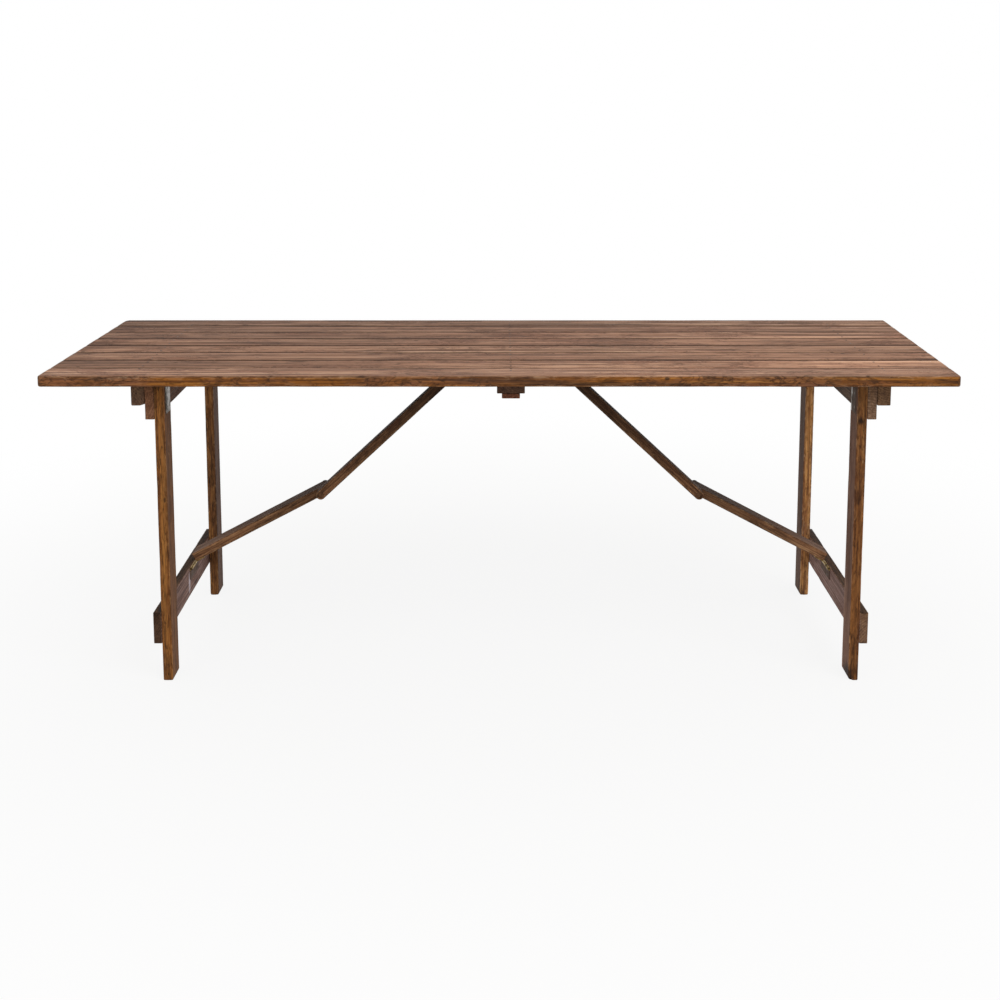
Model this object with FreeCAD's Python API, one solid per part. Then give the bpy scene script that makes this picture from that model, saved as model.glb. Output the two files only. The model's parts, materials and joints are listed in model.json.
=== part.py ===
import FreeCAD, Part
import math
import os

Vector = FreeCAD.Vector
os.makedirs("parts", exist_ok=True)

# Table top: lengthwise slats, slightly out of square
top_length = 2134.0
top_depth = 762.0
table_height = 762.0
top_thickness = 26.0
slat_count = 8
slat_gap = 1.6
slat_round = 1.5
top_skew = 16.0

# Cross battens under the slats, and where the understructure sits along the top
structure_shift = 20.0
cross_inset = 56.0
end_batten_width = 31.5
end_batten_height = 57.0
centre_batten_width = 66.0
centre_batten_height = 28.0
centre_cleat_width = 43.0
centre_cleat_height = 12.0

# Leg frames
leg_setback = 252.0
leg_thickness = 24.0
leg_depth = 68.0
leg_round = 1.5
head_rail_thickness = 22.0
head_rail_height = 90.0
stretcher_thickness = 20.0
stretcher_height = 78.0
stretcher_bottom = 93.0
top_clearance = 0.5
stop_clearance = 0.5

# Folding braces: an upper and a lower strut side by side, lapped at the knee
top_hinge_share = 0.151
knee_share = 0.604
fold_angle = 88.0
lower_strut_turn = 62.0
brace_front = 2.0
upper_strut_width = 40.0
upper_strut_thickness = 24.0
lower_strut_width = 64.0
lower_strut_thickness = 22.0
lap_clearance = 0.5
lower_strut_end_gap = 7.0
foot_hinge_drop = 5.0

# Butt hinges
barrel_radius = 4.0
leaf_thickness = 2.0
hinge_pin_radius = 2.2
pin_clearance = 0.05
knuckle_count = 5
knuckle_gap = 0.3
leaf_barrel_gap = 0.6
leg_hinge_width = 42.0
leg_leaf_length = 75.0
top_leaf_length = 50.0
brace_hinge_inset = 2.0
brace_leaf_length = 32.0
stretcher_leaf_length = 30.0
leaf_screw_along_shares = (0.38, 0.82)
leaf_screw_across_shares = (0.25, 0.75)

# Screws, nails and the knee bolt
leaf_screw_head_radius = 3.4
leaf_screw_shank_radius = 1.6
leaf_screw_head_depth = 1.6
leaf_screw_length = 15.0
frame_screw_head_radius = 4.6
frame_screw_shank_radius = 2.4
frame_screw_head_depth = 2.6
frame_screw_length = 40.0
frame_screw_across_share = 0.5
frame_screw_rise_shares = (0.25, 0.75)
nail_head_radius = 2.6
nail_head_depth = 1.2
nail_shank_radius = 1.5
nail_length = 46.0
cleat_nail_length = 30.0
cleat_nail_shares = (0.13, 0.355, 0.645, 0.87)
nail_shares = (0.25, 0.75)
fastener_clearance = 0.05
knee_bolt_radius = 5.0
knee_bolt_head_radius = 8.5
knee_bolt_head_depth = 4.0
knee_nut_across = 16.0
knee_nut_height = 8.0
knee_washer_radius = 11.0
knee_washer_thickness = 1.6
knee_bolt_tail = 4.0
cut_overrun = 5.0
parallel_share = 0.001

# Places worked out from the sizes above
underside = table_height - top_thickness
slat_width = (top_depth - (slat_count - 1) * slat_gap) / slat_count
leg_inner_offset = top_length / 2 - leg_setback
leg_outer_offset = leg_inner_offset + leg_thickness
head_rail_outer = leg_outer_offset + head_rail_thickness
end_batten_inner = head_rail_outer + stop_clearance
cross_depth = top_depth - 2 * cross_inset
cross_front = -cross_depth / 2
cross_back = cross_depth / 2
frame_top = underside - top_clearance
stretcher_top = stretcher_bottom + stretcher_height
upper_lane = (brace_front, brace_front + upper_strut_width)
lower_lane_front = upper_lane[1] + lap_clearance
lower_lane = (lower_lane_front, lower_lane_front + lower_strut_width)

# Hinge axes in the plane of the fold: distance outward from the structure's middle, and height
leg_axis = Vector(leg_inner_offset - barrel_radius, 0, underside - barrel_radius)
foot_axis = Vector(leg_outer_offset - barrel_radius, 0, stretcher_top - foot_hinge_drop)
top_axis = Vector(leg_inner_offset * top_hinge_share, 0, underside - barrel_radius)
UP = Vector(0, 0, 1)
DOWN = Vector(0, 0, -1)
OUT = Vector(1, 0, 0)
IN = Vector(-1, 0, 0)
BACK = Vector(0, 1, 0)
FRONT = Vector(0, -1, 0)


def turned(vector, degrees):
    # a turn in the plane of the fold, from outward towards up
    angle = math.radians(degrees)
    return Vector(
        vector.x * math.cos(angle) - vector.z * math.sin(angle),
        0,
        vector.x * math.sin(angle) + vector.z * math.cos(angle),
    )


def bearing(vector):
    return math.degrees(math.atan2(vector.z, vector.x))


# The knee height that closes the brace both with the leg frame set and with it folded
folded_foot = leg_axis + turned(foot_axis - leg_axis, -fold_angle)
top_seen_from_foot = foot_axis + turned(top_axis - folded_foot, fold_angle + lower_strut_turn)
halfway = (top_axis + top_seen_from_foot) / 2
apart = top_seen_from_foot - top_axis
knee_offset = leg_inner_offset * knee_share
knee_height = halfway.z - (knee_offset - halfway.x) * apart.x / apart.z
knee_axis = Vector(knee_offset, 0, knee_height)
folded_knee = folded_foot + turned(knee_axis - foot_axis, -fold_angle - lower_strut_turn)
upper_strut_turn = bearing(folded_knee - top_axis) - bearing(knee_axis - top_axis)


def block(x0, x1, y0, y1, z0, z1):
    return Part.makeBox(x1 - x0, y1 - y0, z1 - z0, Vector(x0, y0, z0))


def rounded_along(shape, direction, radius):
    edges = []
    for edge in shape.Edges:
        start = edge.Vertexes[0].Point
        run = edge.Vertexes[-1].Point - start
        if run.cross(direction).Length < run.Length * parallel_share:
            edges.append(edge)
    return shape.makeFillet(radius, edges)


def prism(points, lane):
    # a straight-sided plate in the plane of the fold, as wide as its lane
    corners = [Vector(p.x, lane[0], p.z) for p in points]
    face = Part.Face(Part.makePolygon(corners + corners[:1]))
    return face.extrude(Vector(0, lane[1] - lane[0], 0))


def rod(centre, lane, radius):
    base = Vector(centre.x, lane[0], centre.z)
    return Part.makeCylinder(radius, lane[1] - lane[0], base, BACK)


def headed_pin(point, drive, head_radius, shank_radius, head_depth, length, taper):
    # a screw with a tapered head, or a nail with a flat one, driven in from its head
    if taper:
        head = Part.makeCone(head_radius, shank_radius, head_depth, point, drive)
    else:
        head = Part.makeCylinder(head_radius, head_depth, point, drive)
    shank_start = point + drive * head_depth
    shank = Part.makeCylinder(shank_radius, length - head_depth, shank_start, drive)
    return head.fuse(shank).removeSplitter()


def leaf_screw(point, drive, room=0.0):
    return headed_pin(
        point, drive, leaf_screw_head_radius + room, leaf_screw_shank_radius + room,
        leaf_screw_head_depth, leaf_screw_length + room, True,
    )


def frame_screw(point, drive, room=0.0):
    return headed_pin(
        point, drive, frame_screw_head_radius + room, frame_screw_shank_radius + room,
        frame_screw_head_depth, frame_screw_length + room, True,
    )


def nail(point, drive, length, room=0.0):
    return headed_pin(
        point, drive, nail_head_radius + room, nail_shank_radius + room,
        nail_head_depth, length + room, False,
    )


def knuckles(lane):
    # evenly spaced knuckle spans along the barrel, with a running gap between neighbours
    pitch = (lane[1] - lane[0]) / knuckle_count
    spans = []
    for index in range(knuckle_count):
        start = lane[0] + index * pitch + knuckle_gap / 2
        spans.append((start, start + pitch - knuckle_gap))
    return spans


def hinge_leaf(axis, along, seat, length, lane, spans):
    # a plate lying against the seat side of the barrel, with its own knuckles rolled round the pin
    near = axis + seat * (barrel_radius - leaf_thickness)
    far = axis + seat * barrel_radius
    gap = along * (barrel_radius + leaf_barrel_gap)
    reach = along * length
    leaf = prism([near + gap, near + reach, far + reach, far + gap], lane)
    for span in spans:
        tongue = prism([near, near + gap, far + gap, far], span)
        leaf = leaf.fuse(rod(axis, span, barrel_radius)).fuse(tongue)
    return leaf.cut(rod(axis, lane, hinge_pin_radius + pin_clearance)).removeSplitter()


def leaf_screw_points(axis, along, seat, length, lane):
    # heads lie flush with the leaf's open face
    points = []
    for along_share in leaf_screw_along_shares:
        for across_share in leaf_screw_across_shares:
            place = axis + along * (length * along_share) + seat * (barrel_radius - leaf_thickness)
            place.y = lane[0] + (lane[1] - lane[0]) * across_share
            points.append(place)
    return points


class Leaf:
    # one leaf of a hinge with its screws; screws are driven towards the seat
    def __init__(self, axis, along, seat, length, lane, spans):
        self.seat = seat
        self.points = leaf_screw_points(axis, along, seat, length, lane)
        self.shape = hinge_leaf(axis, along, seat, length, lane, spans)
        for point in self.points:
            self.shape = self.shape.cut(leaf_screw(point, seat, fastener_clearance))

    def screws(self):
        return [leaf_screw(point, self.seat) for point in self.points]

    def drill(self, wood):
        for point in self.points:
            wood = wood.cut(leaf_screw(point, self.seat, fastener_clearance))
        return wood


# Top leaves of the leg hinges and of the braces, on the outward half of the structure
leg_centre_front = cross_front + leg_depth / 2
leg_hinge_lanes = []
for leg_centre in (leg_centre_front, -leg_centre_front):
    leg_hinge_lanes.append((leg_centre - leg_hinge_width / 2, leg_centre + leg_hinge_width / 2))
top_hinge_lane = (upper_lane[0] + brace_hinge_inset, upper_lane[1] - brace_hinge_inset)
foot_hinge_lane = (lower_lane[0] + brace_hinge_inset, lower_lane[1] - brace_hinge_inset)
top_hinge_spans = knuckles(top_hinge_lane)
foot_hinge_spans = knuckles(foot_hinge_lane)

# The stretcher's leaf runs on in front of the lower strut
stretcher_leaf_lane = (upper_lane[0], foot_hinge_lane[1])
stretcher_leaf_spans = [(upper_lane[0], foot_hinge_spans[0][1])] + foot_hinge_spans[2::2]

upper_offset = barrel_radius + upper_strut_thickness / 2
upper_run = knee_axis - top_axis
upper_bearing = bearing(upper_run) + math.degrees(math.asin(upper_offset / upper_run.Length))
upper_along = turned(OUT, upper_bearing)
upper_seat = turned(upper_along, -90)
lower_offset = barrel_radius + lower_strut_thickness / 2
lower_run = knee_axis - foot_axis
lower_bearing = bearing(lower_run) + math.degrees(math.asin(lower_offset / lower_run.Length))
lower_along = turned(OUT, lower_bearing)
lower_seat = turned(lower_along, -90)

leg_leaves = []
leg_top_leaves = []
for lane in leg_hinge_lanes:
    spans = knuckles(lane)
    leg_leaves.append(Leaf(leg_axis, DOWN, OUT, leg_leaf_length, lane, spans[1::2]))
    leg_top_leaves.append(Leaf(leg_axis, IN, UP, top_leaf_length, lane, spans[0::2]))
brace_top_leaf = Leaf(top_axis, OUT, UP, brace_leaf_length, top_hinge_lane, top_hinge_spans[0::2])
upper_leaf = Leaf(
    top_axis, upper_along, upper_seat, brace_leaf_length, top_hinge_lane, top_hinge_spans[1::2],
)
lower_leaf = Leaf(
    foot_axis, lower_along, lower_seat, brace_leaf_length, foot_hinge_lane, foot_hinge_spans[1::2],
)
stretcher_leaf = Leaf(
    foot_axis, DOWN, OUT, stretcher_leaf_length, stretcher_leaf_lane, stretcher_leaf_spans,
)


def knee_bolt(room=0.0):
    # the bolt's countersunk head lies flush with the upper strut's front face
    head = Vector(knee_axis.x, upper_lane[0], knee_axis.z)
    return headed_pin(
        head, BACK, knee_bolt_head_radius + room, knee_bolt_radius + room,
        knee_bolt_head_depth, upper_strut_width, True,
    )


def make_upper_strut():
    # its sloping top end is cut flat and bears up against the slats when the brace is set
    start = top_axis + upper_seat * barrel_radius
    end = knee_axis - upper_seat * (upper_strut_thickness / 2)
    across = upper_seat * upper_strut_thickness
    back_run = upper_along * (upper_strut_thickness + start.sub(end).Length)
    body = prism([end - back_run, end, end + across, end + across - back_run], upper_lane)
    body = body.fuse(rod(knee_axis, upper_lane, upper_strut_thickness / 2))
    span = top_axis.x
    above = block(-span, span, upper_lane[0] - cut_overrun, upper_lane[1] + cut_overrun,
                  frame_top, frame_top + table_height)
    body = body.cut(above).cut(knee_bolt(fastener_clearance))
    return upper_leaf.drill(body).removeSplitter()


def make_lower_strut():
    # its foot stands off the hinge so that it clears the stretcher's top edge when folded
    start = foot_axis + lower_seat * barrel_radius + lower_along * lower_strut_end_gap
    end = knee_axis - lower_seat * (lower_strut_thickness / 2)
    across = lower_seat * lower_strut_thickness
    body = prism([start, end, end + across, start + across], lower_lane)
    body = body.fuse(rod(knee_axis, lower_lane, lower_strut_thickness / 2))
    body = body.cut(rod(knee_axis, lower_lane, knee_bolt_radius + fastener_clearance))
    return lower_leaf.drill(body).removeSplitter()


def make_leg(y0, leaf):
    leg = block(leg_inner_offset, leg_outer_offset, y0, y0 + leg_depth, 0, frame_top)
    return leaf.drill(rounded_along(leg, UP, leg_round))


def make_rail(thickness, z0, z1):
    rail = block(leg_outer_offset, leg_outer_offset + thickness, cross_front, cross_back, z0, z1)
    return rounded_along(rail, BACK, leg_round)


def frame_screw_points(thickness, z0, height):
    # two screws from the rail's outer face into each leg
    points = []
    for y0 in (cross_front, cross_back - leg_depth):
        for rise_share in frame_screw_rise_shares:
            y = y0 + leg_depth * frame_screw_across_share
            points.append(Vector(leg_outer_offset + thickness, y, z0 + height * rise_share))
    return points


head_rail_bottom = frame_top - head_rail_height
head_screw_points = frame_screw_points(head_rail_thickness, head_rail_bottom, head_rail_height)
stretcher_screw_points = frame_screw_points(
    stretcher_thickness, stretcher_bottom, stretcher_height,
)
rail_screw_points = head_screw_points + stretcher_screw_points


def screwed(wood):
    for point in rail_screw_points:
        wood = wood.cut(frame_screw(point, IN, fastener_clearance))
    return wood


def hex_nut(y0):
    # a hexagon nut on the knee bolt, bored for the bolt
    radius = knee_nut_across / math.sqrt(3)
    corners = [knee_axis + turned(OUT * radius, corner * 60) for corner in range(6)]
    nut = prism(corners, (y0, y0 + knee_nut_height))
    return nut.cut(rod(knee_axis, (y0, y0 + knee_nut_height), knee_bolt_radius + fastener_clearance))


# Every piece of one end of the table, set out on the outward side of the structure's middle
washer_front = lower_lane[1]
nut_front = washer_front + knee_washer_thickness
bolt_end = nut_front + knee_nut_height + knee_bolt_tail
washer_lane = (washer_front, nut_front)
tail_lane = (lower_lane[0], bolt_end)
knee_washer = rod(knee_axis, washer_lane, knee_washer_radius)
knee_washer = knee_washer.cut(rod(knee_axis, washer_lane, knee_bolt_radius + fastener_clearance))
leg_shapes = [make_leg(cross_front, leg_leaves[0]), make_leg(cross_back - leg_depth, leg_leaves[1])]
frame_screws = [frame_screw(point, IN) for point in rail_screw_points]
frame_leaf_screws = leg_leaves[0].screws() + leg_leaves[1].screws() + stretcher_leaf.screws()
frame_pins = [rod(leg_axis, lane, hinge_pin_radius) for lane in leg_hinge_lanes]
frame_pins.append(rod(foot_axis, stretcher_leaf_lane, hinge_pin_radius))
end_pieces = {
    "front_leg": screwed(leg_shapes[0]),
    "back_leg": screwed(leg_shapes[1]),
    "head_rail": screwed(make_rail(head_rail_thickness, head_rail_bottom, frame_top)),
    "stretcher": screwed(
        stretcher_leaf.drill(make_rail(stretcher_thickness, stretcher_bottom, stretcher_top))
    ),
    "leg_hinge_leaves": Part.makeCompound([leaf.shape for leaf in leg_leaves]),
    "frame_hinge_pins": Part.makeCompound(frame_pins),
    "frame_screws": Part.makeCompound(frame_screws),
    "frame_hinge_screws": Part.makeCompound(frame_leaf_screws),
    "stretcher_hinge_leaf": stretcher_leaf.shape,
    "upper_strut": make_upper_strut(),
    "upper_strut_hinge_leaf": upper_leaf.shape,
    "upper_strut_screws": Part.makeCompound(upper_leaf.screws()),
    "knee_bolt": knee_bolt(),
    "lower_strut": make_lower_strut(),
    "lower_strut_hinge_leaf": lower_leaf.shape,
    "lower_strut_screws": Part.makeCompound(lower_leaf.screws()),
    "knee_bolt_tail": rod(knee_axis, tail_lane, knee_bolt_radius),
    "knee_washer": knee_washer,
    "knee_nut": hex_nut(nut_front),
    "leg_hinge_top_leaves": Part.makeCompound([leaf.shape for leaf in leg_top_leaves]),
    "brace_top_leaf": brace_top_leaf.shape,
    "brace_top_pin": rod(top_axis, top_hinge_lane, hinge_pin_radius),
}


def on_side(shape, side):
    placed = shape.copy()
    if side == "left":
        placed = placed.mirror(Vector(0, 0, 0), OUT)
    placed.translate(Vector(structure_shift, 0, 0))
    return placed


def write(shape, node):
    shape.exportStep("parts/" + node + ".step")


top_hinge_screws = []
for side in ("left", "right"):
    for name, shape in end_pieces.items():
        write(on_side(shape, side), side + "_" + name)
    for leaf in leg_top_leaves + [brace_top_leaf]:
        for screw in leaf.screws():
            top_hinge_screws.append(on_side(screw, side))
write(Part.makeCompound(top_hinge_screws), "top_hinge_screws")

# Cross battens, nailed through the slats
batten_spans = {
    "left_end_batten": (-end_batten_inner - end_batten_width, -end_batten_inner, end_batten_height),
    "centre_batten": (-centre_batten_width / 2, centre_batten_width / 2, centre_batten_height),
    "right_end_batten": (end_batten_inner, end_batten_inner + end_batten_width, end_batten_height),
}


def slat_lane(index):
    front = -top_depth / 2 + index * (slat_width + slat_gap)
    return (front, front + slat_width)


def slat_nail_points():
    points = []
    for x0, x1, _height in batten_spans.values():
        for index in range(slat_count):
            front = max(slat_lane(index)[0], cross_front)
            back = min(slat_lane(index)[1], cross_back)
            for share in nail_shares:
                x = structure_shift + (x0 + x1) / 2
                points.append(Vector(x, front + (back - front) * share, table_height))
    return points


nail_points = slat_nail_points()
cleat_bottom = underside - centre_batten_height - centre_cleat_height
cleat_nail_points = []
for share in cleat_nail_shares:
    place = Vector(structure_shift, cross_front + cross_depth * share, cleat_bottom)
    cleat_nail_points.append(place)


def nailed(wood):
    for point in nail_points:
        if wood.BoundBox.YMin < point.y < wood.BoundBox.YMax:
            wood = wood.cut(nail(point, DOWN, nail_length, fastener_clearance))
    return wood


def cleat_nailed(wood):
    for point in cleat_nail_points:
        wood = wood.cut(nail(point, UP, cleat_nail_length, fastener_clearance))
    return wood


def make_slat(index):
    # each slat's ends follow the top's slant
    front, back = slat_lane(index)
    half = top_length / 2
    corners = []
    for y, ends in ((front, (-half, half)), (back, (half, -half))):
        for end in ends:
            corners.append(Vector(end + top_skew * y / top_depth, y, underside))
    face = Part.Face(Part.makePolygon(corners + corners[:1]))
    slat = rounded_along(face.extrude(Vector(0, 0, top_thickness)), OUT, slat_round)
    for side in ("left", "right"):
        for leaf in leg_top_leaves + [brace_top_leaf]:
            for point in leaf.points:
                if front < point.y < back:
                    hole = leaf_screw(point, UP, fastener_clearance)
                    slat = slat.cut(on_side(hole, side))
    return nailed(slat)


for index in range(slat_count):
    write(make_slat(index), "slat_" + str(index + 1))

for name, (x0, x1, height) in batten_spans.items():
    batten = block(x0, x1, cross_front, cross_back, underside - height, underside)
    batten = rounded_along(batten, BACK, leg_round)
    batten.translate(Vector(structure_shift, 0, 0))
    batten = nailed(batten)
    if name == "centre_batten":
        batten = cleat_nailed(batten)
    write(batten, name)

cleat = block(-centre_cleat_width / 2, centre_cleat_width / 2, cross_front, cross_back,
              cleat_bottom, cleat_bottom + centre_cleat_height)
cleat.translate(Vector(structure_shift, 0, 0))
cleat = cleat_nailed(rounded_along(cleat, BACK, leg_round))
write(cleat, "centre_cleat")

slat_nails = [nail(point, DOWN, nail_length) for point in nail_points]
write(Part.makeCompound(slat_nails), "slat_nails")
cleat_nails = [nail(point, UP, cleat_nail_length) for point in cleat_nail_points]
write(Part.makeCompound(cleat_nails), "cleat_nails")

print("leg hinge axis", leg_axis.x, leg_axis.z)
print("foot hinge axis", foot_axis.x, foot_axis.z)
print("top hinge axis", top_axis.x, top_axis.z)
print("knee", knee_axis.x, knee_axis.z, "folded", folded_knee.x, folded_knee.z)
print("turns: leg", fold_angle, "lower strut", lower_strut_turn, "upper strut", upper_strut_turn)
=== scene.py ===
import json
import math
import random

import bpy
import numpy as np
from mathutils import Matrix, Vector, noise


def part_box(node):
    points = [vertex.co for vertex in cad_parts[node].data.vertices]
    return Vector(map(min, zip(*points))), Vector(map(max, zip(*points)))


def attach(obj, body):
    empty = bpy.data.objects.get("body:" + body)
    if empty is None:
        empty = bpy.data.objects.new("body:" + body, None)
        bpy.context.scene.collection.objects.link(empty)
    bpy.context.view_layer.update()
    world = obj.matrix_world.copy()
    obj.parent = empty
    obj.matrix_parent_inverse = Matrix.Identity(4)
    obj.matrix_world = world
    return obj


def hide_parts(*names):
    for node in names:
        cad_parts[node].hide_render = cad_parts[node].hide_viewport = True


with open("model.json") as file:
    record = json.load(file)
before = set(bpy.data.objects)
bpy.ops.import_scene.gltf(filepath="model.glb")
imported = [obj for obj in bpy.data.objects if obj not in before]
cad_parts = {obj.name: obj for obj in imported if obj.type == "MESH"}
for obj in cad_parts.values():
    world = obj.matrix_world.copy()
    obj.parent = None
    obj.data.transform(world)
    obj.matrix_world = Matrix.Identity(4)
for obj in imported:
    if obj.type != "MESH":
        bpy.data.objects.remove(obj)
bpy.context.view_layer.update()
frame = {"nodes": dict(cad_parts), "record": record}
print("frame loaded:", len(frame["nodes"]), "pieces")

mm = 0.001
xAxis, yAxis, zAxis = Vector((1, 0, 0)), Vector((0, 1, 0)), Vector((0, 0, 1))


def boxMm(node):
    low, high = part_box(node)
    return Vector(low) / mm, Vector(high) / mm


def hexToLinear(code):
    channels = []
    for at in (0, 2, 4):
        value = int(code[at:at + 2], 16) / 255
        channels.append(value / 12.92 if value <= 0.04045 else ((value + 0.055) / 1.055) ** 2.4)
    return (*channels, 1.0)


def addNode(tree, kind, settings=None, links=None, stops=None):
    node = tree.nodes.new(kind)
    for key, value in (settings or {}).items():
        setattr(node, key, value)
    for key, value in (links or {}).items():
        if isinstance(value, bpy.types.NodeSocket):
            tree.links.new(value, node.inputs[key])
        else:
            node.inputs[key].default_value = value
    if stops:
        ramp = node.color_ramp.elements
        while len(ramp) < len(stops):
            ramp.new(0.5)
        for element, (position, colour) in zip(ramp, stops):
            element.position = position
            element.color = hexToLinear(colour) if isinstance(colour, str) else (colour,) * 3 + (1,)
    return node


def addMath(tree, operation, *values):
    return addNode(tree, "ShaderNodeMath", {"operation": operation}, dict(enumerate(values))).outputs[0]


def addRamp(tree, value, *stops):
    return addNode(tree, "ShaderNodeValToRGB", None, {0: value}, stops).outputs["Color"]


def addRange(tree, value, fromPair=(0.0, 1.0), toPair=(0.0, 1.0), curve="LINEAR"):
    limits = zip(("From Min", "From Max", "To Min", "To Max"), (*fromPair, *toPair))
    return addNode(tree, "ShaderNodeMapRange", {"interpolation_type": curve},
                   {"Value": value, **dict(limits)}).outputs[0]


def addMix(tree, share, under, over, blend="MIX"):
    return addNode(tree, "ShaderNodeMix", {"data_type": "RGBA", "blend_type": blend}, {
        0: share, 6: under, 7: hexToLinear(over) if isinstance(over, str) else over,
    }).outputs[2]


def addNoise(tree, place, scale, detail, roughness=0.5, twist=0.0):
    return addNode(tree, "ShaderNodeTexNoise", None, {
        "Vector": place, "Scale": scale, "Detail": detail, "Roughness": roughness, "Distortion": twist,
    }).outputs["Fac"]


def newMaterial(name):
    material = bpy.data.materials.new(name)
    material.use_nodes = True
    material.node_tree.nodes.clear()
    return material, material.node_tree


# boards: a rounded section swept along the length, with every arris worn in its own way
sweepSet = {
    "station": 9.0,        # mm between sections along a board
    "fewest": 8,           # sections on the shortest board
    "column": 9.0,         # mm between columns across a face
    "gather": 0.09,        # how far the columns crowd toward the arrises
    "arcSteps": 4,         # facets round an arris
    "endRound": 1.6,       # mm of rounding at a sawn end
    "endSteps": 3,         # facets round a sawn end
    "noseSteps": 8,        # facets round a half-round end, which stops just short of its tip
    "noseTurn": 0.985,
    "skin": 0.06,          # mm that all wood stays inside its solid
    "faceRough": 0.22,     # mm that a planed face wanders inward
    "roughWaves": (190.0, 34.0),  # mm along and across the board
    "arrisGain": 1.7,
    "arrisLimits": (0.7, 0.9),  # of the sharpest radius, and of half the thinner side
    "arrisWear": 0.35,     # rubbing where an arris meets its faces; it is 1 on the crown
    "chipReach": (8, 26),  # mm along the arris
    "chipDepth": (0.4, 1),
    "endCrack": 60.0,      # mm from an end where it splits
    "tintSwing": 0.12,
    "smudgeFrom": 0.9,     # dirt and painted gap shade on the faces beside an arris before they creep over it
    "smudgeSwing": {"smudgeAndGapShade": 0.26, "smudgeFine": 0.10},
    "trunk": ((0, 9), (-0.2, 0.2), (0.05, 0.16)),  # m along, beside and from the pith where a board is cut
    "waves": {             # mm of one swing, step between arrises, layer and stretch of the noise
        "arris": (70, 7.3, 0, 3),
        "arrisSlow": (310, 3.1, 5, 5),
        "bow": (420, 2.2, 1, 1),
        "tint": (260, 8.1, 4, 7),
        "smudgeAndGapShade": (260, 5.7, 9, 2),
        "smudgeFine": (48, 5.7, 9, 2),
    },
}
# what every point of a board carries for its material
pointLayers = {
    "grain": "FLOAT_VECTOR",   # place in the trunk, m
    "wear": "FLOAT",           # rubbing, most at an arris
    "bare": "FLOAT",           # bare wood, against oil or stain that stayed
    "endGrain": "FLOAT",       # on a sawn end
    "endNear": "FLOAT",        # close to an end
    "grime": "FLOAT",          # dirt in a joint, with painted shade in the gaps between slats
    "knot": "FLOAT_VECTOR",    # away from a single mark's middle, in its half sizes
    "scorch": "FLOAT_VECTOR",
    "scuff": "FLOAT_VECTOR",
    "shade": "FLOAT_COLOR",    # tint of the board, with painted light and shade per face and along its length
}
layerFields = {"FLOAT": "value", "FLOAT_VECTOR": "vector", "FLOAT_COLOR": "color"}
singleMarks = ("knot", "scorch", "scuff")
noMark = ((-9e3, 0, 0), (1e3, 1e3, 1e3))  # a mark's middle and half sizes in mm, here far off the board
corners = ((1, 1), (-1, 1), (-1, -1), (1, -1))  # v and w side of each arris; the face after it has its number
evenFaces = (1.0, 1.0, 1.0, 1.0)


def swing(key, along, lane, drift):
    wave, step, layer, stretch = sweepSet["waves"][key]
    return noise.noise(Vector((along / wave, lane * step, layer)) + drift * stretch)


def swell(key, along, lane, drift):
    return swing(key, along, lane, drift) * 0.5 + 0.5


def squareEnd(at):
    return lambda v, w: at


def boardRings(spec, steps):
    # share of the length, push along it, inset, how far it is a sawn end, and flattening
    endRound, last = spec.get("endRound", sweepSet["endRound"]), sweepSet["endSteps"]
    sawn = []
    for k in range(last + 1):
        turn = k / last * math.pi / 2
        sawn.append((endRound * (1 - math.cos(turn)), endRound * (1 - math.sin(turn)), 1 - k / last))
    rings = [(0.0, push, inset, cap, 1.0) for push, inset, cap in sawn]
    rings += [(k / steps, 0.0, 0.0, 0.0, 1.0) for k in range(1, steps)]
    if "roundEnd" not in spec:
        return rings + [(1.0, -push, inset, cap, 1.0) for push, inset, cap in reversed(sawn)]
    for k in range(sweepSet["noseSteps"] + 1):  # half round in the u-w plane
        turn = k / sweepSet["noseSteps"] * math.pi / 2 * sweepSet["noseTurn"]
        rings.append((1.0, spec["roundEnd"] * math.sin(turn), 0.0, 0.0, math.cos(turn)))
    return rings


def boardRadii(spec, along, drift, chips):
    radii = []
    for corner, (least, most) in enumerate(spec["arris"]):
        worn = swell("arris", along, corner, drift) * swell("arrisSlow", along, corner, drift)
        radius = least + (most - least) * worn * sweepSet["arrisGain"]
        for where, at, reach, depth in chips:
            if where == corner:
                radius += depth * math.exp(-((along - at) / reach) ** 2)
        floor, ceiling = sweepSet["arrisLimits"]
        radii.append(min(max(radius, least * floor), min(spec["half"]) * ceiling))
    return radii


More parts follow.
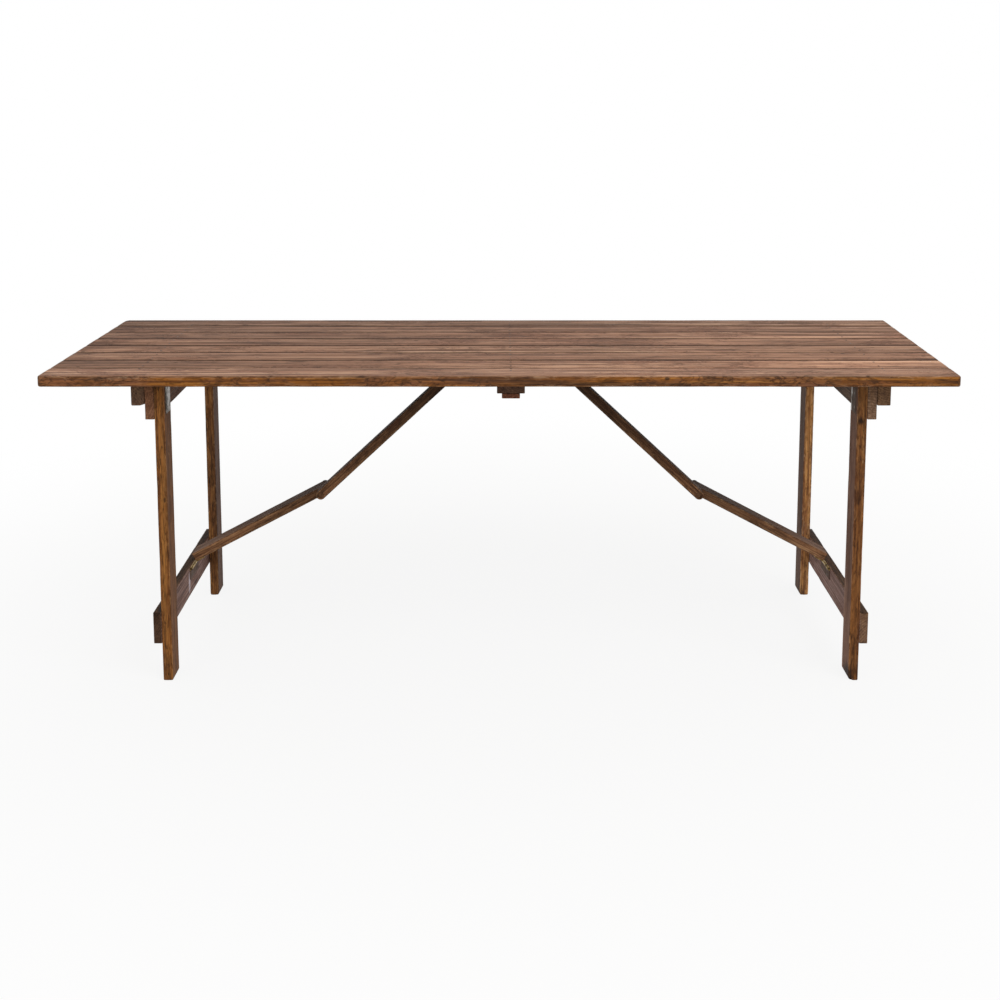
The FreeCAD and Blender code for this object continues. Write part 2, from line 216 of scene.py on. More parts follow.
def boardProfile(spec, along, drift, radii):
    # points round the section: v, w, the way they face, bare, wear, grime (dirt and painted gap shade) and
    # level (painted light and shade on each face, and a darker arris where asked for)
    halfV, halfW = spec["half"]
    bares, grimeAndShade = spec["bare"], spec.get("grime", (0, 0, 0, 0))
    levels, arrisLevels = spec.get("faceShade", evenFaces), spec.get("arrisShade", evenFaces)
    arc = sweepSet["arcSteps"]
    profile = []
    for corner, (signV, signW) in enumerate(corners):
        before, following = (corner + 3) % 4, (corner + 1) % 4
        radius, nextRadius = radii[corner], radii[following]
        centreV, centreW = signV * (halfV - radius), signW * (halfW - radius)
        smudgeAndGapShade = 0.0  # dirt, and painted shade of the gap, that creeps from a joint over the arris
        if grimeAndShade[before] + grimeAndShade[corner] > sweepSet["smudgeFrom"]:
            smudgeAndGapShade = spec["smudgeAndGapShade"][0 if signV < 0 else 1]
            for key, share in sweepSet["smudgeSwing"].items():
                smudgeAndGapShade += share * swing(key, along, corner, drift)
        for j in range(arc + 1):
            mix = j / arc
            angle = math.radians(90 * corner + 90 * j / arc)
            faceV, faceW = math.cos(angle), math.sin(angle)
            bulge = math.sin(math.pi * mix)
            bare, grime, level = (values[before] * (1 - mix) + values[corner] * mix
                                  for values in (bares, grimeAndShade, levels))
            level *= 1 - (1 - arrisLevels[corner]) * bulge
            wear = sweepSet["arrisWear"] + (1 - sweepSet["arrisWear"]) * bulge
            profile.append((centreV + radius * faceV, centreW + radius * faceW, faceV, faceW,
                            bare, wear, max(grime, smudgeAndGapShade), level))
        angle = math.radians(90 * (corner + 1))
        faceV, faceW = math.cos(angle), math.sin(angle)
        fromV, fromW = centreV + radius * faceV, centreW + radius * faceW
        toV = corners[following][0] * (halfV - nextRadius) + nextRadius * faceV
        toW = corners[following][1] * (halfW - nextRadius) + nextRadius * faceW
        count = max(int(2 * spec["half"][corner % 2] / sweepSet["column"]), 2)
        for j in range(1, count):
            t = j / count
            t -= sweepSet["gather"] * math.sin(2 * math.pi * t)
            profile.append((fromV + (toV - fromV) * t, fromW + (toW - fromW) * t, faceV, faceW,
                            bares[corner], 0.0, grimeAndShade[corner], levels[corner]))
    return profile


def makeBoard(name, node, body, material, spec):
    # all lengths in mm; u runs along the board, v across it and w through it
    halfV, halfW = spec["half"]
    uAxis, vAxis, wAxis = spec["axes"]
    startAt, endAt = spec.get("start", squareEnd(0.0)), spec["end"]
    length = endAt(0, 0) - startAt(0, 0)
    rng = random.Random(spec["seed"])
    trunkAlong, trunkBeside, trunkPith = sweepSet["trunk"]
    drift = Vector((rng.uniform(*trunkAlong), rng.uniform(*trunkBeside),
                    rng.choice((-1, 1)) * rng.uniform(*trunkPith)))
    chips = []
    for corner, count, depth in spec["chips"]:
        for _ in range(count):
            chips.append((corner, rng.uniform(0, length), rng.uniform(*sweepSet["chipReach"]),
                          rng.uniform(*sweepSet["chipDepth"]) * depth))
    chips += spec.get("breaks", ())

    fadeFrom, fadeTo = spec.get("fade", (1.0, 1.0))
    capShade = spec.get("capShade", (1.0, 1.0, 1.0))
    endCrack = spec.get("endCrack", sweepSet["endCrack"])
    waveAlong, waveAcross = sweepSet["roughWaves"]
    rings = boardRings(spec, max(int(length / spec.get("station", sweepSet["station"])), sweepSet["fewest"]))
    verts, layers = [], {label: [] for label in pointLayers}
    for share, push, inset, cap, flatten in rings:
        along = share * length
        radii = boardRadii(spec, along, drift, chips)
        bow = spec.get("bow", 0.0) * swell("bow", along, 1, drift)
        # painted light and shade along the board, from its fade, with a random swing in tone
        tint = fadeFrom + (fadeTo - fadeFrom) * share ** 2 * (3 - 2 * share)
        tint *= 1 + sweepSet["tintSwing"] * swing("tint", along, 1, drift)
        for v, w, faceV, faceW, bare, wear, grime, level in boardProfile(spec, along, drift, radii):
            rough = noise.noise(Vector((along / waveAlong, v / waveAcross, w / waveAcross)) + drift)
            dip = sweepSet["skin"] + sweepSet["faceRough"] * (rough * 0.5 + 0.5)
            if faceW > 0.9:   # the upper face
                dip += spec.get("sunk", 0.0) + spec.get("cup", 0.0) * (v / halfV) ** 2
            if faceV < -0.5:  # the front edge
                dip += bow
            v, w = v - faceV * dip, (w - faceW * dip) * flatten
            if inset:
                v *= (halfV - inset) / halfV
                w *= (halfW - inset) / halfW
            begin, finish = startAt(v, w), endAt(v, w)
            u = begin + share * (finish - begin) + push
            verts.append(spec["origin"] + uAxis * u + vAxis * v + wAxis * w)
            layers["grain"].append(Vector((u, v, w)) * mm + drift)
            layers["wear"].append(wear)
            layers["bare"].append(bare)
            layers["endGrain"].append(cap)
            layers["endNear"].append(max(0.0, 1 - min(u - begin, finish - u) / endCrack))
            layers["grime"].append(grime)
            layers["shade"].append([face * level * tint * (1 - (1 - sawn) * cap)
                                    for face, sawn in zip(spec["shade"], capShade)] + [1.0])
            for label in singleMarks:
                middle, size = spec.get(label, noMark)
                layers[label].append([(a - b) / c for a, b, c in zip((u, v, w), middle, size)])

    ring = len(verts) // len(rings)
    faces = []
    for i in range(len(rings) - 1):
        for j in range(ring):
            a, b = i * ring + j, i * ring + (j + 1) % ring
            faces.append((a, b, b + ring, a + ring))
    faces.append(tuple(reversed(range(ring))))
    faces.append(tuple(range(len(verts) - ring, len(verts))))
    if uAxis.cross(vAxis).dot(wAxis) < 0:
        faces = [tuple(reversed(face)) for face in faces]

    mesh = bpy.data.meshes.new(name)
    mesh.from_pydata([v * mm for v in verts], [], faces)
    mesh.polygons.foreach_set("use_smooth", [True] * (len(faces) - 2) + [False] * 2)
    for label, kind in pointLayers.items():
        layer = mesh.attributes.new(label, kind, "POINT")
        layer.data.foreach_set(layerFields[kind], np.array(layers[label], dtype=float).ravel())
    mesh.materials.append(material)
    board = bpy.data.objects.new(name, mesh)
    bpy.context.collection.objects.link(board)
    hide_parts(node)
    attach(board, body)


# what both pines share; noise swings round 0.5, so each pair says where a pattern starts and where it is full
woodSet = {
    "ringStretch": (0.1, 1, 1),
    "ringUnit": 0.314,     # of a wave texture's unit for one ring
    "ringWaver": {"Distortion": 9.0, "Detail": 2.0, "Detail Scale": 0.35},
    "toneShares": {"streak": 0.52, "band": 0.22, "fibre": 0.17, "rings": 0.09},
    "stain": (0.47, 0.62),
    "vein": (0.54, 0.64),
    "fleckStops": ((0.36, 0.7), (0.5, 0.0)),
    "fleckBare": 0.25,     # what is left of the flecks on bare wood
    "crackShare": 0.85,
    "crackPatch": (0.44, 0.56),
    "spots": {             # heart and rim as shares of the spacing, strength, tint
        "knotSpacing": (0.022, 0.05, 0.85, "checkDark"),
        "scarSpacing": (0.04, 0.08, 0.85, "checkDark"),
        "nickSpacing": (0.035, 0.07, 0.7, "rubbed"),
        "speckSpacing": (0.05, 0.10, 0.8, "checkDark"),
    },
    "spotKept": 0.42,      # cells with a random value under this stay empty
    "checkHalf": 0.035,
    "checkPatch": (0.42, 0.54),
    "packedGrimeAndShade": (0.12, 0.5),
    "packedShare": 0.95,
    "rubbedPatch": (0.52, 0.64),
    "rubbedInDirt": 0.3,
    "sawn": (0.25, 0.8),
    "sawnShare": 0.7,
    "marks": {             # tint, and where the ragged edge starts and ends
        "knot": ("1f130b", 0.8, 1.5), "scorch": ("1c1410", 1.0, 1.5), "scuff": ("a59a92", 0.6, 1.4),
    },
    "markShare": 0.9,
    "roughFrom": (0.3, 0.7),
    "fibreRelief": 0.5,
    "bumpStrength": 0.85,
    "shader": {"IOR": 1.5, "Specular IOR Level": 0.14},
}
# reclaimed pine, planed long ago and worn grey-pink by use: long soft streaks, ring lines, dark open
# checks along the grain, short cracks, specks and small knots; the edges keep an amber oil finish
pineTopSet = {
    "layers": {            # length along the grain and width across it in mm, detail, roughness, twist
        "band": (1100, 34, 2.0, 0.5, 0.5),
        "streak": (620, 11, 6.0, 0.62, 0.7),
        "fibre": (46, 1.5, 3.0, 0.6, 0.2),
        "vein": (900, 24, 4.0, 0.6, 0.5),
        "check": (900, 14, 4.0, 0.55, 0.5),
        "stain": (240, 80, 5.0, 0.6, 0.8),
        "blot": (34, 8, 6.0, 0.65, 1.0),
        "crack": (75, 26, 4.0, 0.62, 1.4),
    },
    "ringSpacing": 7.0,    # mm; wider than real pine so that the lines still show at table distance
    "crackHalf": 0.05,     # cracks too are drawn wider than they are
    "crackBare": 0.8,      # how well they show on bare wood
    "bareStops": ((0.37, "472f21"), (0.45, "735340"), (0.53, "916d57"), (0.62, "ad8d76")),
    "oiledStops": ((0.37, "422308"), (0.45, "62370f"), (0.53, "7b4911"), (0.62, "956220")),
    "mottle": "2f1a08",
    "vein": ("452d20", 0.72),
    "checkDark": "2a1a10",
    "checkShare": 0.85,
    "stainTint": "6a4635",
    "stainShare": 0.5,
    "rubbed": "bd9672",
    "rubbedShare": 0.4,
    "endTones": ("3a2415", "6b4a2c"),
    "endRings": 0.75,      # rings against blotches on a sawn end
    "knotSpacing": (640, 150),  # mm along and across the grain
    "scarSpacing": (95, 62),    # scars, nicks and specks are drawn larger than they are so that they show
    "nickSpacing": (110, 34),
    "speckSpacing": (70, 21),
    "checkDepth": 0.45,    # mm
    "rough": (0.6, 0.84),
}
# pine stained walnut brown under a dull old varnish: amber where the stain is rubbed, greyer and
# darker on the broad faces, near black in the hollows, flecked all along the grain
pineFrameSet = {
    "layers": {
        "band": (700, 26, 2.0, 0.5, 0.5),
        "vein": (420, 12, 4.0, 0.6, 0.6),
        "streak": (230, 5, 6.0, 0.64, 0.8),
        "fibre": (40, 1.4, 3.0, 0.6, 0.2),
        "check": (300, 8, 4.0, 0.55, 0.6),
        "stain": (150, 40, 5.0, 0.62, 0.8),
        "blot": (26, 7, 6.0, 0.66, 1.0),
        "crack": (60, 6, 4.0, 0.6, 1.4),
    },
    "ringSpacing": 5.5,
    "crackHalf": 0.028,
    "crackBare": 0.25,
    "bareStops": ((0.36, "3b2b22"), (0.45, "594439"), (0.53, "70594d"), (0.64, "8b7365")),
    "oiledStops": ((0.36, "482912"), (0.45, "693f1a"), (0.53, "815425"), (0.64, "9a6d36")),
    "mottle": "2b180a",
    "vein": ("2d1b10", 0.45),
    "checkDark": "1f130b",
    "checkShare": 0.75,
    "stainTint": "45291a",
    "stainShare": 0.5,
    "rubbed": "a6845c",
    "rubbedShare": 0.65,
    "endTones": ("2c1d16", "5e4534"),
    "endRings": 0.22,
    "knotSpacing": (520, 120),
    "scarSpacing": (110, 36),
    "nickSpacing": (75, 20),
    "speckSpacing": (48, 15),
    "checkDepth": 0.15,
    "rough": (0.62, 0.86),
}


def alongGrain(tree, grain, length, width):
    return addNode(tree, "ShaderNodeVectorMath", {"operation": "MULTIPLY"},
                   {0: grain, 1: (1 / (length * mm), 1 / (width * mm), 1 / (width * mm))}).outputs[0]


def rise(pair, share):
    return (pair[0], 0.0), (pair[1], share)


def ridge(half, share):
    return (0.5 - half, 0.0), (0.5, share), (0.5 + half, 0.0)


def makePine(name, look):
    material, tree = newMaterial(name)
    points = {}
    for label in pointLayers:
        points[label] = addNode(tree, "ShaderNodeAttribute", {"attribute_name": label}).outputs
    grain = points["grain"]["Vector"]
    wear, bare, endGrain, endNear, grime = (
        points[label]["Fac"] for label in ("wear", "bare", "endGrain", "endNear", "grime"))
    patterns = {}
    for key, (length, width, *fineness) in look["layers"].items():
        patterns[key] = addNoise(tree, alongGrain(tree, grain, length, width), 1.0, *fineness)

    # growth rings round a far-off pith, stretched along the trunk
    trunk = addNode(tree, "ShaderNodeVectorMath", {"operation": "MULTIPLY"},
                    {0: grain, 1: woodSet["ringStretch"]}).outputs[0]
    patterns["rings"] = addNode(
        tree, "ShaderNodeTexWave", {"wave_type": "RINGS", "rings_direction": "X", "wave_profile": "SAW"},
        {"Vector": trunk, "Scale": woodSet["ringUnit"] / (look["ringSpacing"] * mm), **woodSet["ringWaver"]},
    ).outputs["Fac"]

    # streaks, bands, fibres and rings together choose the tone
    tone = 0.0
    for key, share in woodSet["toneShares"].items():
        tone = addMath(tree, "MULTIPLY_ADD", patterns[key], share, tone)
    oiledTone, bareTone = (addRamp(tree, tone, *look[key]) for key in ("oiledStops", "bareStops"))
    colour = addMix(tree, bare, oiledTone, bareTone)

    # spilled and soaked-in stains
    stain = addRamp(tree, patterns["stain"], *rise(woodSet["stain"], look["stainShare"]))
    colour = addMix(tree, stain, colour, look["stainTint"])

    # dark resin veins, drawn as wide as they need to be to show from across the room
    veinTint, veinShare = look["vein"]
    vein = addRamp(tree, patterns["vein"], *rise(woodSet["vein"], veinShare))
    colour = addMix(tree, vein, colour, veinTint)

    # old oil gathers in dark flecks on the faces that kept it
    fleck = addRamp(tree, patterns["blot"], *woodSet["fleckStops"])
    oily = addRange(tree, bare, toPair=(1.0, woodSet["fleckBare"]))
    colour = addMix(tree, addMath(tree, "MULTIPLY", fleck, oily), colour, look["mottle"])

    # short cracks through the old finish, in patches
    crack = addRamp(tree, patterns["crack"], *ridge(look["crackHalf"], woodSet["crackShare"]))
    crazed = addRange(tree, patterns["stain"], woodSet["crackPatch"])
    brittle = addRange(tree, bare, toPair=(1.0, look["crackBare"]))
    crack = addMath(tree, "MULTIPLY", crack, addMath(tree, "MULTIPLY", crazed, brittle))
    colour = addMix(tree, crack, colour, look["checkDark"])

    # dark hearts of knots far apart, dark scars, pale nicks, and specks of worm close together
    for key, (heart, rim, share, tint) in woodSet["spots"].items():
        cell = addNode(tree, "ShaderNodeTexVoronoi", {"feature": "F1"}, {
            "Vector": alongGrain(tree, grain, *look[key]), "Scale": 1.0, "Randomness": 1.0}).outputs
        spot = addRamp(tree, cell["Distance"], (heart, share), (rim, 0.0))
        kept = addMath(tree, "GREATER_THAN", cell["Color"], woodSet["spotKept"])
        colour = addMix(tree, addMath(tree, "MULTIPLY", spot, kept), colour, look[tint])

    # open checks: thin dark lines that run with the grain and fade out, most of them near the ends
    check = addRamp(tree, patterns["check"], *ridge(woodSet["checkHalf"], 1.0))
    split = addRamp(tree, patterns["band"], *rise(woodSet["checkPatch"], look["checkShare"]))
    checkLine = addMath(tree, "MULTIPLY", check, addMath(tree, "MAXIMUM", split, endNear))
    colour = addMix(tree, checkLine, colour, look["checkDark"])

    # dirt packed in the joints, and painted shade in the gaps between slats, missing here and there
    packedGrimeAndShade = addRange(tree, grime, woodSet["packedGrimeAndShade"], (0.0, woodSet["packedShare"]))
    colour = addMix(tree, packedGrimeAndShade, colour, look["checkDark"])

    # arrises rubbed pale in places, less where dirt and painted gap shade lie
    rubbed = addRamp(tree, patterns["blot"], *rise(woodSet["rubbedPatch"], look["rubbedShare"]))
    clean = addRange(tree, packedGrimeAndShade, toPair=(1.0, woodSet["rubbedInDirt"]))
    rubbed = addMath(tree, "MULTIPLY", addMath(tree, "MULTIPLY", rubbed, wear), clean)
    colour = addMix(tree, rubbed, colour, look["rubbed"])

    # sawn ends drink the stain in blotches and show the rings as arcs
    arcs = addNode(tree, "ShaderNodeMix", None,
                   {0: look["endRings"], 2: patterns["blot"], 3: patterns["rings"]}).outputs[0]
    sawn = addRamp(tree, arcs, *zip(woodSet["sawn"], look["endTones"]))
    colour = addMix(tree, addMath(tree, "MULTIPLY", endGrain, woodSet["sawnShare"]), colour, sawn)

    # single marks seen on the table: a black knot, a scorched corner and a scrape through the stain
    for label, (tint, near, far) in woodSet["marks"].items():
        away = addNode(tree, "ShaderNodeVectorMath", {"operation": "LENGTH"}, {0: points[label]["Vector"]})
        ragged = addMath(tree, "ADD", away.outputs["Value"], patterns["blot"])
        colour = addMix(tree, addRange(tree, ragged, (near, far), (woodSet["markShare"], 0.0)), colour, tint)
    colour = addMix(tree, 1.0, colour, points["shade"]["Color"], "MULTIPLY")

    relief = addMath(tree, "MULTIPLY_ADD", patterns["fibre"], woodSet["fibreRelief"], patterns["streak"])
    bump = addNode(tree, "ShaderNodeBump", None, {
        "Height": addMath(tree, "SUBTRACT", relief, checkLine),
        "Distance": look["checkDepth"] * mm, "Strength": woodSet["bumpStrength"]})
    rough = addRange(tree, patterns["streak"], woodSet["roughFrom"], look["rough"])
    shader = addNode(tree, "ShaderNodeBsdfPrincipled", None, {
        "Base Color": colour, "Roughness": rough, "Normal": bump.outputs[0], **woodSet["shader"]})
    addNode(tree, "ShaderNodeOutputMaterial", None, {"Surface": shader.outputs[0]})
    return material


pineTop = makePine("worn reclaimed pine, oiled edges", pineTopSet)
pineFrame = makePine("walnut stained pine, dull varnish", pineFrameSet)

# slats: each board has its own tint, front to back, and one end lighter than the other, which is painted
# light along the board
slatSet = {
    "length": 2134.0,      # mm
    "skew": 16.0 / 762.0,
    "shades": ((1.40, 1.42, 1.44), (1.24, 1.21, 1.17), (1.16, 1.13, 1.10), (1.19, 1.18, 1.15),
               (1.14, 1.12, 1.10), (1.18, 1.17, 1.15), (1.05, 1.05, 1.05), (1.03, 1.04, 1.04)),
    # painted light: how bright each board is drawn at its left end and at its right end
    "fade": ((1.16, 1.04), (0.85, 1.46), (1.05, 1.22), (1.22, 1.15),
             (1.0, 1.24), (0.95, 1.46), (1.02, 1.24), (1.0, 1.18)),
    "smudgeAndGapShade": (0.0, 0.27, 0.4, 0.42, 0.44, 0.46, 0.44, 0.42, 0.0),  # dirt and painted gap shade in each gap, front to back
    "frontEdge": 0.84,     # the front edge is drawn darker than the face above it with painted shade, and its arris darker still
    "frontArris": 0.6,
    "arris": {"top": (2.4, 5.5), "front": (2.0, 7.5), "under": (1.5, 2.4),  # mm, sharp and worn
              "underFront": (1.5, 7.0), "underBack": (1.5, 6.0)},
    "chips": ((1, 7, 2.6), (0, 4, 1.8)),  # arris, how many, mm deep
    "bare": {"top": 1.0, "outside": 0.06, "joint": 0.4, "under": 0.45},
    "grime": {"top": 0, "outside": 0, "joint": 1, "under": 0.4},
    "cornerRound": {"front": (10.0, 8.0), "back": (18.0, 6.0)},  # mm at the left and right end
    "endRound": 4.0,
    "endCrack": 130.0,
    "sunk": (0.0, 0.3, 0.15, 0.35, 0.1, 0.3, 0.2, 0.05),  # mm under the highest board
    "cup": (0.3, 0.5, 0.2, 0.5, 0.35, 0.2, 0.5, 0.3),     # mm that a board's edges lie low
    "bow": 1.2,            # mm that the front edge wanders inward
    "seed": 40,
}


def slatEnd(middle, side, front, back):
    def reach(v, w):
        y = middle + v
        x = side * slatSet["length"] / 2 + slatSet["skew"] * y
        for edge, limit in (("front", front), ("back", back)):
            if limit is None:
                continue
            radius = slatSet["cornerRound"][edge][0 if side < 0 else 1]
            into = radius - abs(y - limit)
            if into > 0:
                x -= side * (radius - math.sqrt(radius ** 2 - into ** 2))
        return x
    return reach


for index, shade in enumerate(slatSet["shades"]):
    node = "slat_%d" % (index + 1)
    low, high = boxMm(node)
    middle = (low + high) / 2
    isFront, isBack = index == 0, index == len(slatSet["shades"]) - 1
    front, back = low.y if isFront else None, high.y if isBack else None
    sides = ("top", "outside" if isFront else "joint", "under", "outside" if isBack else "joint")
    arrises = ("top", "front" if isFront else "top",
               "underFront" if isFront else "under", "underBack" if isBack else "under")
    makeBoard("slat_board_%d" % (index + 1), node, "table_top", pineTop, {
        "half": ((high.y - low.y) / 2, (high.z - low.z) / 2),
        "origin": Vector((0, middle.y, middle.z)),
        "axes": (xAxis, yAxis, zAxis),
        "start": slatEnd(middle.y, -1, front, back),
        "end": slatEnd(middle.y, 1, front, back),
        "arris": [slatSet["arris"][key] for key in arrises],
        "bare": [slatSet["bare"][key] for key in sides],
        "grime": [slatSet["grime"][key] for key in sides],
        "smudgeAndGapShade": slatSet["smudgeAndGapShade"][index:index + 2],
        "chips": slatSet["chips"],
        "endRound": slatSet["endRound"],
        "endCrack": slatSet["endCrack"],
        "sunk": slatSet["sunk"][index],
        "cup": slatSet["cup"][index],
        "bow": slatSet["bow"] if isFront else 0.0,
        "shade": shade,
        "faceShade": (1.0, slatSet["frontEdge"] if isFront else 1.0, 1.0, 1.0),
        "arrisShade": (1.0, slatSet["frontArris"] if isFront else 1.0, 1.0, 1.0),
        "fade": slatSet["fade"][index],
        "seed": slatSet["seed"] + index,
    })
print("slats laid")

# battens under the top: tint, then how bright the sawn ends are beside the faces
battenSet = {
    "tints": {
        "left_end_batten": ((1.08, 1.14, 1.2), (1.5, 1.5, 1.5)),
        "centre_batten": ((0.74, 0.74, 0.85), (1.65, 1.65, 1.65)),
        "right_end_batten": ((1.12, 1.18, 1.12), (1.75, 1.75, 1.75)),
        "centre_cleat": ((1.0, 0.8, 0.78), (1.9, 1.7, 1.7)),
    },
    "arris": ((0.8, 2.0), (0.8, 2.0), (1.6, 3.5), (1.6, 3.5)),
    "chips": ((2, 2, 2.5), (3, 2, 2.5)),
    "breaks": {"left_end_batten": [(2, 0.0, 13.0, 9.0)]},  # arris, place, reach and depth in mm
    "bare": (0.5, 0.5, 0.5, 0.5),
    "seed": 70,
}
for index, (node, (shade, endLevel)) in enumerate(battenSet["tints"].items()):
    low, high = boxMm(node)
    middle = (low + high) / 2
    makeBoard(node + "_board", node, "table_top", pineFrame, {
        "half": ((high.x - low.x) / 2, (high.z - low.z) / 2),
        "origin": Vector((middle.x, low.y, middle.z)),
        "axes": (yAxis, -xAxis, zAxis),
        "end": squareEnd(high.y - low.y),
        "arris": battenSet["arris"],
        "chips": battenSet["chips"],
        "breaks": battenSet["breaks"].get(node, []),
        "bare": battenSet["bare"],
        "capShade": endLevel,
        "shade": shade,
        "seed": battenSet["seed"] + index,
    })
print("battens set")

# leg frames
frameSet = {
    "legs": {              # tint, seed, how bare and how bright the sides are, how bright the front is; the brightness per face is painted light and shade, and the right back leg's strong tint and bright front are painted light that lifts it out of the top's shadow
        "left_front_leg": ((1.1, 1.0, 0.86), 11, (0.45, 1.05, 1.1)),
        "left_back_leg": ((1.3, 1.34, 1.52), 12, (0.75, 0.9, 1.2)),
        "right_front_leg": ((0.98, 0.93, 0.95), 13, (0.85, 1.8, 1.12)),
        "right_back_leg": ((1.34, 1.54, 2.0), 14, (0.6, 0.75, 2.35)),
    },
    "rails": {             # tint, seed, how bright the top, the broad faces and the ends are; the dark top and the bright broad faces are painted shade and painted light
        "left_head_rail": ((1.15, 0.94, 0.76), 15, (1.0, 1.1, (1.9, 1.9, 1.9))),
        "right_head_rail": ((1.1, 1.17, 1.14), 16, (1.0, 1.1, (1.95, 1.95, 1.95))),
        "left_stretcher": ((1.04, 1.1, 1.34), 17, (0.34, 1.85, (0.42, 0.35, 0.24))),
        "right_stretcher": ((1.2, 1.3, 1.62), 18, (0.34, 1.95, (0.85, 0.78, 0.58))),
    },
    "arris": ((1.2, 2.6),) * 4,
    "chips": [(corner, 2, 1.8) for corner in range(4)],
    "legBare": 0.08,       # front and back of a leg
    "railBare": (0.35, 0.9, 0.8, 0.9),
    "feet": {              # mm of rounding at the inner and outer corner of each foot
        "left_front_leg": (4.0, 3.0), "left_back_leg": (6.0, 5.0),
        "right_front_leg": (11.0, 3.0), "right_back_leg": (6.0, 5.0),
    },
    "footLimit": 0.98,
    "knot": ((642.0, -4.0, -34.0), (13.0, 10.0, 14.0)),    # right front leg, below the head rail
    "scorch": ((2.0, -13.0, -20.0), (46.0, 13.0, 48.0)),   # its foot is worn black at the inner corner
    "scuff": {"back": -4.0, "drop": 130.0, "size": (14.0, 6.0, 36.0)},  # left stretcher, by the hinge
}


def footEnd(node, half):
    inner, outer = frameSet["feet"][node]
    radii = {1: inner, -1: outer} if node.startswith("left") else {1: outer, -1: inner}

    def lift(v, w):
        radius = radii[1 if v > 0 else -1]
        into = min(max(abs(v) - (half - radius), 0.0), radius * frameSet["footLimit"])
        return radius - math.sqrt(radius ** 2 - into ** 2)
    return lift


def makeFramePiece(node, shade, seed, spec):
    makeBoard(node + "_board", node, node.split("_")[0] + "_frame", pineFrame, {
        "arris": frameSet["arris"], "chips": frameSet["chips"], "shade": shade, "seed": seed, **spec,
    })


for node, (shade, seed, (sideBare, sideLevel, frontLevel)) in frameSet["legs"].items():
    low, high = boxMm(node)
    middle = (low + high) / 2
    half = ((high.x - low.x) / 2, (high.y - low.y) / 2)
    marks = {key: frameSet[key] for key in ("knot", "scorch")} if node == "right_front_leg" else {}
    makeFramePiece(node, shade, seed, {
        "half": half,
        "origin": Vector((middle.x, middle.y, low.z)),
        "axes": (zAxis, xAxis, yAxis),
        "start": footEnd(node, half[0]),
        "end": squareEnd(high.z - low.z),
        "bare": (frameSet["legBare"], sideBare, frameSet["legBare"], sideBare),
        "faceShade": (1.0, sideLevel, frontLevel, sideLevel),
        **marks,
    })
for node, (shade, seed, (topLevel, faceLevel, endLevel)) in frameSet["rails"].items():
    low, high = boxMm(node)
    middle = (low + high) / 2
    half = ((high.x - low.x) / 2, (high.z - low.z) / 2)
    marks = {}
    if node == "left_stretcher":
        scuff = frameSet["scuff"]
        marks["scuff"] = ((scuff["back"] - low.y, -half[0], scuff["drop"] - middle.z), scuff["size"])
    makeFramePiece(node, shade, seed, {
        "half": half,
        "origin": Vector((middle.x, low.y, middle.z)),
        "axes": (yAxis, -xAxis, zAxis),
        "end": squareEnd(high.y - low.y),
        "bare": frameSet["railBare"],
        "faceShade": (topLevel, faceLevel, 1.0, faceLevel),
        "capShade": endLevel,
        **marks,
    })
print("leg frames stood")

# folding braces, from the same hinge places as the solids, in mm
braceSet = {
    "shift": 20.0,
    "topHinge": Vector((123.065, 0, 732.0)),
    "footHinge": Vector((835.0, 0, 166.0)),
    "knee": Vector((492.26, 0, 364.38265)),
    "barrel": 4.0,
    "endGap": 7.0,
    "topCut": 735.5,       # height of the upper strut's flat-cut end
    "topReach": 24.0,      # furthest that the cut end goes past the hinge
    # fade: painted shade along each strut, the upper darkest at its top under the table, the lower darker
    # toward the knee
    "upper": {"thick": 24.0, "lane": (2.0, 42.0), "fade": (0.42, 1.5), "seed": 90,
              "shades": {"left": (0.9, 0.9, 0.94), "right": (0.88, 0.88, 0.92)}},
    "lower": {"thick": 22.0, "lane": (42.5, 106.5), "fade": (1.65, 0.9), "seed": 91,
              "shades": {"left": (1.02, 1.02, 1.04), "right": (0.98, 1.0, 1.06)}},
    "leftSeed": 10,        # added on the left
    "arris": ((1.2, 2.4),) * 4,
    "chips": [(corner, 2, 1.6) for corner in range(4)],
    "bare": (0.7, 0.42, 0.7, 0.42),
    # painted shade: the upper and under faces of a strut are drawn darker than its front and back
    "faceShade": (0.76, 1.0, 0.76, 1.0),
    "station": 7.0,
}


def strutLine(hinge, thick):
    run = braceSet["knee"] - hinge
    lift = math.asin((braceSet["barrel"] + thick / 2) / run.length)
    bearing = math.atan2(run.z, run.x) + lift
    along = Vector((math.cos(bearing), 0, math.sin(bearing)))
    seat = Vector((along.z, 0, -along.x))
    return along, seat


def flatCut(reach, along, seat):
    def begin(v, w):
        cut = (braceSet["topCut"] - braceSet["knee"].z - seat.z * w) / along.z
        return max(cut, -reach - braceSet["topReach"]) + reach
    return begin


